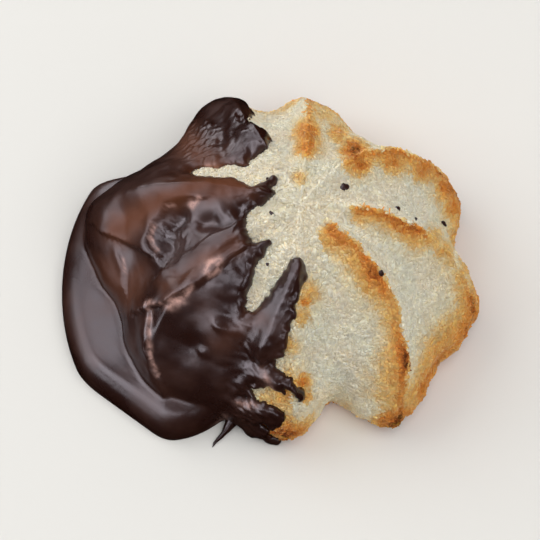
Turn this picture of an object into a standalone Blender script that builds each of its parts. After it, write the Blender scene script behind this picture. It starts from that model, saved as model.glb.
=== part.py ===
"""A coconut macaroon: a mound piped through a star nozzle, baked, and dipped to its middle in dark chocolate.

It lies on its flat base with +Z up, the chocolate at -X and the bare coconut at +X. The origin is on the
table under the middle of its footprint. The sizes below are in millimetres and degrees.
"""

import math

import bmesh
import bpy
import numpy as np
from mathutils import Vector, noise

TO_METRES = 0.001

# The baked mound: a dome whose side tucks in a little where it meets the tray.
MOUND_RADIUS = 25.0
MOUND_HEIGHT = 25.0
WIDEST_AT = 4.0
SHOULDER_POWER = 1.3
TUCK = 2.0
CROWN_LEAN = (2.0, 1.5)

# Each ridge that the star nozzle left, anticlockwise: the angle of its tip at the base, how far it has swung
# back from there at the crown, how far out its tip reaches, and the depth of the furrow that follows it.
RIDGES = (
    (-14, 16, 28.8, 3.4),
    (25, 24, 27.7, 4.6),
    (85, -2, 26.6, 2.2),
    (108, 6, 26.4, 5.0),
    (167, -4, 28.0, 3.4),
    (220, -14, 25.2, 3.2),
    (272, -1, 26.0, 6.0),
    (305.5, 24, 28.8, 1.9),
)
SWIRL_POWER = 2.8
RELIEF_GROWTH = 1.0
FIN_DEPTH = 4.2
FIN_POWER = 2.7
FIN_LEAN = 0.4
FIN_ROUNDING = 0.4
LOBE_POWER = 2.4
LOBES_FROM = 0.8
LUMP_HEIGHT = 0.4
LUMP_SIZE = 6.5

# The base stands level on the table at the bare end, and rises over the chocolate under the dipped end.
LEVEL_UNTIL = 9.0
BASE_SLOPE = 0.05

# The edge of the chocolate, seen from above: a dip line, runs of chocolate that reach past it, each given by
# its root, its tip and its half width at each, and gaps that the chocolate missed, given in the same way.
DIP_LINE = -5.2
DIP_WAVE = 0.5
DIP_WAVE_LENGTH = 9.0
RUNS = (
    ((-9.0, 14.8), (-4.3, 12.8), 3.6, 2.4),
    ((-9.0, 2.6), (-3.6, 3.0), 2.4, 1.4),
    ((-3.6, 3.4), (-1.7, 5.7), 1.2, 0.6),
    ((-7.0, -5.8), (-2.5, -3.8), 3.2, 0.5),
    ((-8.0, -14.2), (-4.2, -14.0), 2.0, 2.0),
    ((-2.9, -15.7), (1.4, -7.9), 3.2, 1.55),
    ((-5.2, -19.2), (1.8, -22.2), 2.1, 0.9),
    ((-8.6, -21.9), (-1.2, -23.6), 2.4, 1.5),
)
GAPS = (
    ((-12.4, 8.8), (-4.2, 6.8), 0.9, 1.5),
    ((-4.6, -21.0), (0.4, -23.4), 0.5, 0.8),
)
RUN_BLEND = 1.2
RUNS_END_AT = 1.6

# How the chocolate lies: its thickness, the width of its rounded lip, and how much it evens out the ridges.
# CUT_SNAP is how near its edge a point of the skin may lie before it is moved onto the edge.
COAT_THICKNESS = 1.5
LIP_WIDTH = 1.5
LIP_RINGS = (0.25, 1.5)
CUT_SNAP = 0.1
FURROW_FILL = 0.12
CREST_FILL = 0.25
CLEARANCE = 0.3

# The foot of chocolate that ran off the dipped end and set round on the table, with one straighter side: how
# far that side is from the mound's axis, and the angle that it faces.
FOOT_CENTRE = (-17.0, -1.8)
FOOT_AXES = (15.6, 23.0)
FOOT_HEIGHT = 6.2
FOOT_ROUNDING = 9.0
FOOT_FLAT = 30.4
FOOT_FLAT_FACES = 232.7
FOOT_POWER = 2.6
FOOT_BLEND = 1.2
FOOT_SPAN = (143.0, 260.0)
FOOT_FADE = 12.0

# How finely each surface is divided, and how much closer its columns stand at the crests.
MOUND_COLUMNS = 10
MOUND_ROWS = (20, 4, 4)
COAT_COLUMNS = 14
COAT_ROWS = (30, 9, 9)
COAT_RIDGES = (2, 7)
CREST_CROWDING = 0.45
SMOOTH_UNDER = 50.0

COCONUT_COLOUR = (0.58, 0.46, 0.28, 1.0)
CHOCOLATE_COLOUR = (0.035, 0.014, 0.010, 1.0)


def clear_scene():
    for thing in list(bpy.data.objects):
        bpy.data.objects.remove(thing, do_unlink=True)


def smooth_step(value):
    value = np.clip(value, 0.0, 1.0)
    return value * value * (3.0 - 2.0 * value)


def smooth_max(first, second, blend):
    """The larger of two values, rounded where they come within blend of each other."""
    nearness = np.clip(1.0 - np.abs(first - second) / blend, 0.0, 1.0)
    return np.maximum(first, second) + nearness * nearness * blend / 4.0


def lumps(x, y, z):
    """Soft swellings between -1 and 1."""
    points = np.stack([x, y, z], axis=-1).reshape(-1, 3) / LUMP_SIZE
    values = [noise.noise(Vector(point)) for point in points]
    return np.array(values).reshape(np.shape(x))


def ridge_pair(column, which):
    """One entry of RIDGES for the ridge before a column and for the ridge after it."""
    before = np.floor(column).astype(int) % len(RIDGES)
    values = np.array([ridge[which] for ridge in RIDGES], float)
    return values[before], values[(before + 1) % len(RIDGES)]


def plan_angle(column, reach):
    """The direction, in radians, of a line that runs down the mound with the swirl of its ridges."""
    tip_before, tip_after = ridge_pair(column, 0)
    swing_before, swing_after = ridge_pair(column, 1)
    swung = 1.0 - reach**SWIRL_POWER
    before = tip_before + swing_before * swung
    after = tip_after + swing_after * swung
    after = np.where(after < before, after + 360.0, after)
    return np.radians(before + (after - before) * (column - np.floor(column)))


def star_relief(column, reach, evened):
    """How far the ridges stand out from the plain dome: thin fins above and blunt lobes below."""
    share = column - np.floor(column)
    tip_before, tip_after = ridge_pair(column, 2)
    depth, _ = ridge_pair(column, 3)
    crest = tip_before + (tip_after - tip_before) * smooth_step(share) - MOUND_RADIUS
    leaning = share + FIN_LEAN * share * (1.0 - share)
    fin = FIN_DEPTH * (1.0 - np.abs(2.0 * leaning - 1.0) ** FIN_POWER)
    fin = np.hypot(fin, FIN_ROUNDING) - FIN_ROUNDING
    lobe = depth * np.abs(np.sin(math.pi * share)) ** LOBE_POWER
    bluntness = np.maximum(smooth_step((reach - LOBES_FROM) / (1.0 - LOBES_FROM)), CREST_FILL * evened)
    furrow = fin + (lobe - fin) * bluntness
    return (crest - furrow * (1.0 - FURROW_FILL * evened)) * reach**RELIEF_GROWTH


def base_height(x):
    return np.maximum(0.0, LEVEL_UNTIL - x) * BASE_SLOPE


def skin(column, run, evened=0.0, offset=0.0):
    """Points of the mound's skin, or of a layer at an offset from it.

    run is 0 at the crown, 1 where the mound is widest, 2 at its base's edge and 3 at the base's middle.
    """
    over = np.clip(run, 0.0, 1.0) * math.pi / 2
    under = np.clip(run - 1.0, 0.0, 1.0)
    inward = np.clip(run - 2.0, 0.0, 1.0)
    radius = MOUND_RADIUS * np.sin(over) - TUCK * (1.0 - np.cos(under * math.pi / 2))
    height = WIDEST_AT * (1.0 - np.sin(under * math.pi / 2))
    height = height + (MOUND_HEIGHT - WIDEST_AT) * np.abs(np.cos(over)) ** SHOULDER_POWER
    steepness = np.cos(over) * MOUND_RADIUS / (MOUND_HEIGHT - WIDEST_AT)
    out = np.sin(over) / np.hypot(np.sin(over), steepness)
    up = steepness / np.hypot(np.sin(over), steepness)
    reach = radius / MOUND_RADIUS
    angle = plan_angle(column, reach)
    relief = star_relief(column, reach, evened)
    relief = relief + LUMP_HEIGHT * lumps(radius * np.cos(angle), radius * np.sin(angle), height)
    around = radius + out * (relief + offset)
    lean = (height / MOUND_HEIGHT) ** 2
    x = (around * np.cos(angle) + CROWN_LEAN[0] * lean) * (1.0 - inward)
    y = (around * np.sin(angle) + CROWN_LEAN[1] * lean) * (1.0 - inward)
    z = height + up * (relief + offset) - under * offset
    return x, y, z + base_height(x) * (1.0 - height / (2.0 * MOUND_HEIGHT))


def run_depth(x, y, run):
    """How far a point lies inside a tapered run of chocolate: negative outside it."""
    (root_x, root_y), (tip_x, tip_y), root_width, tip_width = run
    along_x, along_y = tip_x - root_x, tip_y - root_y
    share = ((x - root_x) * along_x + (y - root_y) * along_y) / (along_x**2 + along_y**2)
    share = np.clip(share, 0.0, 1.0)
    away = np.hypot(x - root_x - share * along_x, y - root_y - share * along_y)
    return root_width + (tip_width - root_width) * share - away


def dip_depth(x, y, run):
    """How far inside the edge of the chocolate a point of the skin lies: negative on the bare coconut."""
    depth = DIP_LINE + DIP_WAVE * np.sin(y * 2.0 * math.pi / DIP_WAVE_LENGTH) - x
    out_of_sight = np.clip(run - RUNS_END_AT, 0.0, 1.0) * MOUND_RADIUS
    for shape in RUNS:
        depth = smooth_max(depth, run_depth(x, y, shape) - out_of_sight, RUN_BLEND)
    for shape in GAPS:
        depth = -smooth_max(-depth, run_depth(x, y, shape) - out_of_sight, RUN_BLEND)
    return depth


def with_foot(angle, around, z):
    """Widens the coat to the foot, in plan an ellipse with one straighter side, at each height of it."""
    way_x, way_y = np.cos(angle) / FOOT_AXES[0], np.sin(angle) / FOOT_AXES[1]
    middle_x, middle_y = FOOT_CENTRE[0] / FOOT_AXES[0], FOOT_CENTRE[1] / FOOT_AXES[1]
    square = way_x**2 + way_y**2
    towards = way_x * middle_x + way_y * middle_y
    reached = towards**2 - square * (middle_x**2 + middle_y**2 - 1.0)
    edge = (towards + np.sqrt(np.clip(reached, 0.0, None))) / square
    flat = FOOT_FLAT / np.clip(np.cos(angle - math.radians(FOOT_FLAT_FACES)), 0.1, 1.0)
    edge = -smooth_max(-edge, -flat, FOOT_BLEND)
    rise = np.clip(z / FOOT_HEIGHT, 0.0, 1.0)
    inset = FOOT_ROUNDING * (1.0 - (1.0 - rise**FOOT_POWER) ** (1.0 / FOOT_POWER))
    degrees = np.degrees(angle) % 360.0
    share = smooth_step((degrees - FOOT_SPAN[0]) / FOOT_FADE)
    share = share * smooth_step((FOOT_SPAN[1] - degrees) / FOOT_FADE)
    share = share * smooth_step((FOOT_HEIGHT - z) / FOOT_BLEND)
    return around + (smooth_max(around, edge - inset, FOOT_BLEND) - around) * share


def coat_outside(column, run, depth):
    """Points of the chocolate's outer surface: an even coat with a rounded lip, and the foot."""
    lip = np.clip(depth / LIP_WIDTH, 0.0, 1.0)
    thickness = COAT_THICKNESS * np.sqrt(1.0 - (1.0 - lip) ** 2)
    x, y, z = skin(column, np.minimum(run, 2.0), lip, CLEARANCE + thickness)
    z = np.maximum(0.0, z - base_height(x) * smooth_step(2.0 - z / WIDEST_AT) * lip)
    angle = np.arctan2(y, x)
    around = np.hypot(x, y)
    around = around + (with_foot(angle, around, z) - around) * lip
    outward = 1.0 - np.clip(run - 2.0, 0.0, 1.0)
    under_x, under_y, under_z = skin(column, run)
    swell = (around * outward - np.hypot(under_x, under_y)) * outward
    below = run > 2.0
    x = np.where(below, under_x + swell * np.cos(angle), around * np.cos(angle))
    y = np.where(below, under_y + swell * np.sin(angle), around * np.sin(angle))
    z = np.where(below, np.maximum(0.0, under_z - CLEARANCE - 2.0 * thickness), z)
    return x, y, z


def spaced(count, first, last):
    """Columns that stand closer together at the crests than in the furrows."""
    columns = first + np.arange((last - first) * count + 1) / count
    return columns - CREST_CROWDING * np.sin(2.0 * math.pi * columns) / (2.0 * math.pi)


def row_runs(rows):
    """Where each ring of points lies: on the dome, on the tucked side and across the base."""
    top, side, base = rows
    dome = np.linspace(0.0, 1.0, top + 1)
    tuck = np.linspace(1.0, 2.0, side + 1)[1:]
    under = np.linspace(2.0, 3.0, base + 1)[1:]
    return np.concatenate([dome, tuck, under])


def new_object(name, mesh):
    bmesh.ops.scale(mesh, vec=(TO_METRES,) * 3, verts=mesh.verts)
    data = bpy.data.meshes.new(name)
    mesh.to_mesh(data)
    mesh.free()
    made = bpy.data.objects.new(name, data)
    bpy.context.scene.collection.objects.link(made)
    return made


def make_mound():
    """Rings of points from the crown down the side and in across the base."""
    columns = spaced(MOUND_COLUMNS, 0, len(RIDGES))[:-1]
    mesh = bmesh.new()
    rings = []
    for run in row_runs(MOUND_ROWS)[1:-1]:
        points = zip(*skin(columns, np.full(len(columns), run)))
        rings.append([mesh.verts.new(point) for point in points])
    crown = mesh.verts.new([value[0] for value in skin(np.zeros(1), np.zeros(1))])
    middle = mesh.verts.new([value[0] for value in skin(np.zeros(1), np.full(1, 3.0))])
    for i in range(len(columns)):
        j = (i + 1) % len(columns)
        mesh.faces.new((crown, rings[0][i], rings[0][j]))
        mesh.faces.new((rings[-1][j], rings[-1][i], middle))
        for upper, lower in zip(rings, rings[1:]):
            mesh.faces.new((upper[i], lower[i], lower[j], upper[j]))
    return new_object("coconut_mound", mesh)


def dipped_sheet():
    """The dipped skin as a sheet whose x is the column, y the run and z the depth inside its edge.

    The sheet is cut where the depth is nothing, so its border is the edge of the chocolate.
    """
    columns, runs = np.meshgrid(spaced(COAT_COLUMNS, *COAT_RIDGES), row_runs(COAT_ROWS)[1:-1])
    x, y, _ = skin(columns, runs)
    depths = dip_depth(x, y, runs)
    sheet = bmesh.new()
    grid = [[sheet.verts.new(point) for point in zip(*row)] for row in zip(columns, runs, depths)]
    for upper, lower in zip(grid, grid[1:]):
        for i in range(len(upper) - 1):
            sheet.faces.new((upper[i], lower[i], lower[i + 1], upper[i + 1]))
    for level in (0.0, *LIP_RINGS):
        bmesh.ops.bisect_plane(
            sheet,
            geom=sheet.verts[:] + sheet.edges[:] + sheet.faces[:],
            dist=CUT_SNAP,
            plane_co=(0, 0, level),
            plane_no=(0, 0, 1),
            clear_inner=level == 0.0,
        )
    bmesh.ops.triangulate(sheet, faces=sheet.faces)
    return sheet


def make_coat():
    """An outer and an inner layer over the sheet, joined along the sheet's border."""
    sheet = dipped_sheet()
    column, run, depth = np.array([vertex.co for vertex in sheet.verts]).T
    outside = np.stack(coat_outside(column, run, depth), axis=-1)
    inside = np.stack(skin(column, run, offset=CLEARANCE), axis=-1)
    mesh = bmesh.new()
    on_border = [vertex.is_boundary for vertex in sheet.verts]
    inner = [mesh.verts.new(point) for point in inside]
    outer = [
        corner if border else mesh.verts.new(point)
        for border, corner, point in zip(on_border, inner, outside)
    ]
    sheet.verts.index_update()
    for face in sheet.faces:
        corners = [vertex.index for vertex in face.verts]
        if not all(on_border[corner] for corner in corners):
            mesh.faces.new([outer[corner] for corner in corners])
            mesh.faces.new([inner[corner] for corner in reversed(corners)])
    sheet.free()
    return new_object("chocolate_coat", mesh)


def finish_material(thing, name, colour, roughness):
    material = bpy.data.materials.new(name)
    material.use_nodes = True
    shader = material.node_tree.nodes["Principled BSDF"]
    shader.inputs["Base Color"].default_value = colour
    shader.inputs["Roughness"].default_value = roughness
    shader.inputs["Metallic"].default_value = 0.0
    thing.data.materials.clear()
    thing.data.materials.append(material)
    thing.data.shade_smooth()
    thing.data.set_sharp_from_angle(angle=math.radians(SMOOTH_UNDER))


def centre_footprint(things):
    """Moves every piece so that the origin is under the middle of the whole."""
    corners = np.array([vertex.co for thing in things for vertex in thing.data.vertices])
    middle = (corners.min(axis=0) + corners.max(axis=0)) / 2
    for thing in things:
        thing.location = (-middle[0], -middle[1], 0.0)


def main():
    clear_scene()
    mound = make_mound()
    coat = make_coat()
    finish_material(mound, "baked coconut", COCONUT_COLOUR, roughness=0.75)
    finish_material(coat, "dark chocolate", CHOCOLATE_COLOUR, roughness=0.35)
    centre_footprint([mound, coat])


main()
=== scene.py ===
"""A coconut macaroon, piped through a star nozzle, baked and half dipped in dark chocolate, on a pale table.

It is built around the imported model, in metres, with the chocolate at -X. Sizes are in millimetres and
degrees, and those of the table, the lights and the camera in metres.
"""

import math

import bmesh
import bpy
import numpy as np
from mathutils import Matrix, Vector, noise


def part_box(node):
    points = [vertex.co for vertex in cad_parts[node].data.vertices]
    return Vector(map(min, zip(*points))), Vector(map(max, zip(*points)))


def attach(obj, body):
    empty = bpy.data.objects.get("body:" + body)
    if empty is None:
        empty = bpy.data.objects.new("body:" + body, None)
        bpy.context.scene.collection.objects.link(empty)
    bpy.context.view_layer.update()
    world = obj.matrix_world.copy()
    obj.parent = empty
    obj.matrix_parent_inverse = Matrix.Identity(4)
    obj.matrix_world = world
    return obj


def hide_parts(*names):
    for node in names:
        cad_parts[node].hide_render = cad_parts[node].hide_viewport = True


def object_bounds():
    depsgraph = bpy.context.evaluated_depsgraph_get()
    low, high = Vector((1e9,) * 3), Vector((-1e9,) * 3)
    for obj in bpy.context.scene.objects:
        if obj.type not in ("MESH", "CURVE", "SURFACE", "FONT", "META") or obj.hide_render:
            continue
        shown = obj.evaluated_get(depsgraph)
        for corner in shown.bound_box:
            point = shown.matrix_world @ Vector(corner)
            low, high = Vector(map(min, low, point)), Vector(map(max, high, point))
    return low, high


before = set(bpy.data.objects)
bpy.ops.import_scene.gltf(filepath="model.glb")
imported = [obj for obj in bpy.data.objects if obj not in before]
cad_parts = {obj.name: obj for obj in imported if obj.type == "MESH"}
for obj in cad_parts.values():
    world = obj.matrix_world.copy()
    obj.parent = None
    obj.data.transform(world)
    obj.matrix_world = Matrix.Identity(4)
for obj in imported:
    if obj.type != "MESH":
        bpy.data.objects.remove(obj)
cad_low, cad_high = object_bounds()


# The baked mound
# Desiccated coconut bound with egg white and sugar, pressed through a star nozzle with a turn of the wrist,
# so that eight ridges swirl down from the crown. The oven browned the thin ridges and the rim, and left the
# furrows cream.

TO_METRES = 0.001

# The plain dome under the ridges: its radius and height, how high up it is widest, the power of its
# shoulder's curve, how far its side tucks in at the base, and how far its crown leans along X and Y.
MOUND_RADIUS = 25.0
MOUND_HEIGHT = 25.0
WIDEST_AT = 4.0
SHOULDER_POWER = 1.3
TUCK = 2.0
CROWN_LEAN = (2.0, 1.5)

# Each ridge, anticlockwise: the angle of its tip at the base, how far it has swung back from there at the
# crown, how far out its tip reaches, and the depth of the furrow that follows it.
RIDGES = (
    (-14, 16, 28.8, 3.4),
    (25, 24, 27.7, 4.6),
    (85, -2, 26.6, 2.2),
    (108, 6, 26.4, 5.0),
    (167, -4, 28.0, 3.4),
    (220, -14, 25.2, 3.2),
    (272, -1, 26.0, 6.0),
    (305.5, 24, 28.8, 1.9),
)
SWIRL_POWER = 2.8
RELIEF_GROWTH = 1.0

# The section of the ridges: thin leaning fins on the dome, which turn into blunt lobes near the rim.
FIN_DEPTH = 4.2
FIN_POWER = 2.7
FIN_LEAN = 0.4
FIN_ROUNDING = 0.4
LOBE_POWER = 2.4
LOBES_FROM = 0.8

# The lumps of the whole dough, and how far chocolate fills the furrows and blunts the crests where it lies.
LUMP_HEIGHT = 0.4
LUMP_SIZE = 6.5
FURROW_FILL = 0.12
CREST_FILL = 0.25

# The bare end stands level, and from here towards the dip the base rises, because there it lies on chocolate.
LEVEL_UNTIL = 9.0
BASE_SLOPE = 0.05

# The grain of the dough: the size of each kind of swelling and how high it stands, and the same for its
# crumbs.
GRAIN = ((2.6, 0.20), (1.3, 0.12))
CRUMB_SIZE = 0.95
CRUMB_HEIGHT = 0.22

# The rim dried into a rough crust: at what run its roughness starts and over how much of it that grows to
# full, and the size and height of its lumps.
CRUST_STARTS = (0.66, 0.30)
CRUST_LUMPS = ((2.6, 0.55), (1.2, 0.30))

# How many columns of points a ridge has, how many rows the dome, the side and the base have, and how much the
# columns crowd at the crests.
MOUND_COLUMNS = 56
MOUND_ROWS = (160, 18, 28)
CREST_CROWDING = 0.45


def linear(code):
    """A colour written as sRGB hex, as the linear colour that Blender works in."""
    parts = [int(code[i : i + 2], 16) / 255 for i in (1, 3, 5)]
    straight = [part / 12.92 if part <= 0.04045 else ((part + 0.055) / 1.055) ** 2.4 for part in parts]
    return (*straight, 1.0)


def add(tree, kind, inputs=(), stops=(), **settings):
    """Adds a node with its settings and the stops of its ramp, and gives each input a value or a link."""
    node = tree.nodes.new(kind)
    for name, value in settings.items():
        setattr(node, name, value)
    for key, value in dict(inputs).items():
        if isinstance(value, bpy.types.NodeSocket):
            tree.links.new(value, node.inputs[key])
        else:
            node.inputs[key].default_value = value
    for place, colour in stops[2:]:
        node.color_ramp.elements.new(place)
    for element, (place, colour) in zip(node.color_ramp.elements if stops else (), stops):
        element.position = place
        element.color = colour
    return node


def smooth_step(value):
    """Rises smoothly from 0 to 1 while the value does."""
    value = np.clip(value, 0.0, 1.0)
    return value * value * (3.0 - 2.0 * value)


def smooth_max(first, second, blend):
    """The larger of two values, rounded where they come within blend of each other."""
    nearness = np.clip(1.0 - np.abs(first - second) / blend, 0.0, 1.0)
    return np.maximum(first, second) + nearness * nearness * blend / 4.0


def swellings(x, y, z, size, seed=0.0):
    """Soft noise between -1 and 1 whose swellings have a size in millimetres."""
    points = np.stack([x, y, z], axis=-1).reshape(-1, 3) / size + seed
    return np.array([noise.noise(point) for point in points.tolist()]).reshape(np.shape(x))


def pebbles(x, y, z, size):
    """A surface of packed rounded crumbs of a size in millimetres: 1 on top of each and 0 where they meet."""
    points = np.stack([x, y, z], axis=-1).reshape(-1, 3) / size
    away = np.array([noise.voronoi(point)[0][:2] for point in points.tolist()])
    return np.clip((away[:, 1] - away[:, 0]) * 1.6, 0.0, 1.0).reshape(np.shape(x)) ** 0.5


def ridge_pair(column, which):
    """One entry of RIDGES for the ridge before a column and for the ridge after it."""
    before = np.floor(column).astype(int) % len(RIDGES)
    values = np.array([ridge[which] for ridge in RIDGES], float)
    return values[before], values[(before + 1) % len(RIDGES)]


def plan_angle(column, reach):
    """The direction, in radians, of a line that runs down the mound with the swirl of its ridges."""
    tip_before, tip_after = ridge_pair(column, 0)
    swing_before, swing_after = ridge_pair(column, 1)
    swung = 1.0 - reach**SWIRL_POWER
    before = tip_before + swing_before * swung
    after = tip_after + swing_after * swung
    after = np.where(after < before, after + 360.0, after)
    return np.radians(before + (after - before) * (column - np.floor(column)))


def star_relief(column, reach, evened):
    """How far the ridges and furrows stand out from the plain dome, and less where chocolate evened them."""
    share = column - np.floor(column)
    tip_before, tip_after = ridge_pair(column, 2)
    depth, _ = ridge_pair(column, 3)
    crest = tip_before + (tip_after - tip_before) * smooth_step(share) - MOUND_RADIUS
    leaning = share + FIN_LEAN * share * (1.0 - share)
    fin = FIN_DEPTH * (1.0 - np.abs(2.0 * leaning - 1.0) ** FIN_POWER)
    fin = np.hypot(fin, FIN_ROUNDING) - FIN_ROUNDING
    lobe = depth * np.abs(np.sin(math.pi * share)) ** LOBE_POWER
    bluntness = np.maximum(smooth_step((reach - LOBES_FROM) / (1.0 - LOBES_FROM)), CREST_FILL * evened)
    furrow = fin + (lobe - fin) * bluntness
    return (crest - furrow * (1.0 - FURROW_FILL * evened)) * reach**RELIEF_GROWTH


def base_height(x):
    """How far the base is above the table."""
    return np.maximum(0.0, LEVEL_UNTIL - x) * BASE_SLOPE


def skin(column, run, evened=0.0, offset=0.0):
    """Points of the mound's skin, or of a layer at an offset from it.

    A run is 0 at the crown, 1 where the mound is widest, 2 at the edge of its base and 3 at its middle.
    """
    over = np.clip(run, 0.0, 1.0) * math.pi / 2
    under = np.clip(run - 1.0, 0.0, 1.0)
    inward = np.clip(run - 2.0, 0.0, 1.0)
    radius = MOUND_RADIUS * np.sin(over) - TUCK * (1.0 - np.cos(under * math.pi / 2))
    height = WIDEST_AT * (1.0 - np.sin(under * math.pi / 2))
    height = height + (MOUND_HEIGHT - WIDEST_AT) * np.abs(np.cos(over)) ** SHOULDER_POWER
    steepness = np.cos(over) * MOUND_RADIUS / (MOUND_HEIGHT - WIDEST_AT)
    out = np.sin(over) / np.hypot(np.sin(over), steepness)
    up = steepness / np.hypot(np.sin(over), steepness)
    reach = radius / MOUND_RADIUS
    angle = plan_angle(column, reach)
    plan_x, plan_y = radius * np.cos(angle), radius * np.sin(angle)
    relief = star_relief(column, reach, evened)
    relief = relief + LUMP_HEIGHT * swellings(plan_x, plan_y, height, LUMP_SIZE)
    around = radius + out * (relief + offset)
    lean = (height / MOUND_HEIGHT) ** 2
    x = (around * np.cos(angle) + CROWN_LEAN[0] * lean) * (1.0 - inward)
    y = (around * np.sin(angle) + CROWN_LEAN[1] * lean) * (1.0 - inward)
    z = height + up * (relief + offset) - under * offset
    return x, y, z + base_height(x) * (1.0 - height / (2.0 * MOUND_HEIGHT))


def spaced(count, first, last):
    """Columns that stand closer together at the crests than in the furrows."""
    columns = first + np.arange((last - first) * count + 1) / count
    return columns - CREST_CROWDING * np.sin(2.0 * math.pi * columns) / (2.0 * math.pi)


def row_runs(rows):
    """Where each ring of points lies: on the dome, on the tucked side and across the base."""
    top, side, base = rows
    dome = np.linspace(0.0, 1.0, top + 1)
    tuck = np.linspace(1.0, 2.0, side + 1)[1:]
    under = np.linspace(2.0, 3.0, base + 1)[1:]
    return np.concatenate([dome, tuck, under])


# The angle at which the photograph looks down, which is also what places browned spots and folds.
LOOK_DOWN = math.radians(68.0)


def view_plane(x, y, z):
    """Where a point shows, across and up, to someone who looks down at the photograph's angle."""
    return x, y * math.sin(LOOK_DOWN) + z * math.cos(LOOK_DOWN)


def away_from(across, up, start, end):
    """Distance from a line on the view plane, and how far along the line the nearest point is."""
    along = (end[0] - start[0], end[1] - start[1])
    length = max(along[0] ** 2 + along[1] ** 2, 1e-6)
    share = np.clip(((across - start[0]) * along[0] + (up - start[1]) * along[1]) / length, 0.0, 1.0)
    return np.hypot(across - start[0] - share * along[0], up - start[1] - share * along[1]), share


# How brown each ridge is along its crest: the ridge, then pairs of a run and a strength, from the crown
# down and then near the rim.
STREAKS = (
    (
        0,
        ((0.17, 0.0), (0.21, 0.72), (0.30, 0.62), (0.40, 0.78), (0.47, 0.86), (0.53, 0.34), (0.65, 0.32)),
        ((0.85, 0.42), (1.2, 0.4)),
    ),
    (
        1,
        ((0.21, 0.0), (0.27, 0.72), (0.34, 0.66), (0.41, 0.60), (0.56, 0.76), (0.70, 0.50)),
        ((0.83, 0.8), (1.2, 0.8)),
    ),
    (2, ((0.20, 0.0), (0.27, 0.54), (0.36, 0.66), (0.46, 0.46), (0.65, 0.50)), ((0.80, 0.84), (1.2, 0.84))),
    (3, ((0.45, 0.0), (0.65, 0.40)), ((0.80, 0.60), (1.2, 0.7))),
    (6, ((0.52, 0.0), (0.60, 0.30), (0.69, 0.55), (0.75, 0.30)), ((0.90, 0.22), (1.2, 0.4))),
    (
        7,
        ((0.10, 0.0), (0.14, 0.72), (0.20, 0.72), (0.28, 0.76), (0.38, 0.84), (0.43, 0.56), (0.54, 0.52)),
        ((0.60, 0.66), (0.66, 0.94), (0.71, 1.00), (0.77, 0.66), (0.88, 0.44), (1.2, 0.40)),
    ),
)

# A streak is a brown core in a golden halo, each with a width ahead of its middle and another behind it. The
# middle lies a little behind the crest, and the core and the halo each give their share of the brown.
CORE_WIDTHS = (0.4, 0.85)
HALO_WIDTHS = (0.45, 3.1)
STREAKS_BEHIND = 0.4
CORE_SHARE = 0.46
HALO_SHARE = 0.54

# The rim's brown: how wide it is on a ridge, at what run it starts and over how much of it that grows to
# full, how strong it is, and how strong it is where the mound touched the tray.
RIM_WIDTH = 6.0
RIM_STARTS = (0.62, 0.36)
RIM_BROWN = 0.72
TRAY_BROWN = 0.70

# Browned spots seen from the camera's side: across and up on the view plane, radius and how brown. One
# below nothing takes brown away, and further below it turns the cream a dull grey.
SPOTS = (
    (3.1, 21.4, 1.8, 0.76),
    (3.0, 19.2, 1.6, 0.70),
    (2.0, 14.9, 1.3, 0.30),
    (9.9, 18.6, 1.9, 0.95),
    (10.8, 16.6, 1.5, 0.80),
    (15.6, 17.4, 2.2, 0.62),
    (20.0, 16.6, 2.2, 0.66),
    (24.0, 13.8, 2.4, 0.80),
    (24.8, 10.6, 1.9, 0.66),
    (7.6, 21.6, 1.7, 0.52),
    (21.4, 6.4, 1.8, 0.34),
    (22.9, 4.4, 1.8, 0.40),
    (6.0, 24.4, 2.6, 0.30),
    (2.6, -2.9, 0.9, 0.66),
    (3.2, -1.6, 2.0, 0.34),
    (2.2, -5.0, 1.6, 0.36),
    (0.4, -9.0, 1.7, 0.36),
    (0.6, -13.2, 2.6, 0.22),
    (2.2, -14.6, 1.5, 0.70),
    (2.9, -16.8, 1.2, 0.62),
    (3.0, -19.4, 2.8, -0.26),
    (25.6, 9.0, 2.4, 0.44),
    (26.8, 2.4, 2.4, 0.46),
    (17.9, -20.6, 1.8, 0.70),
    (12.4, -19.4, 2.6, -0.34),
    (15.0, -16.4, 2.0, -0.10),
    (4.6, -7.4, 1.5, -0.12),
    (6.4, -12.4, 1.4, -0.12),
    (9.4, -15.0, 1.6, -0.10),
    (11.0, -8.0, 1.8, -0.05),
)


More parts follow.
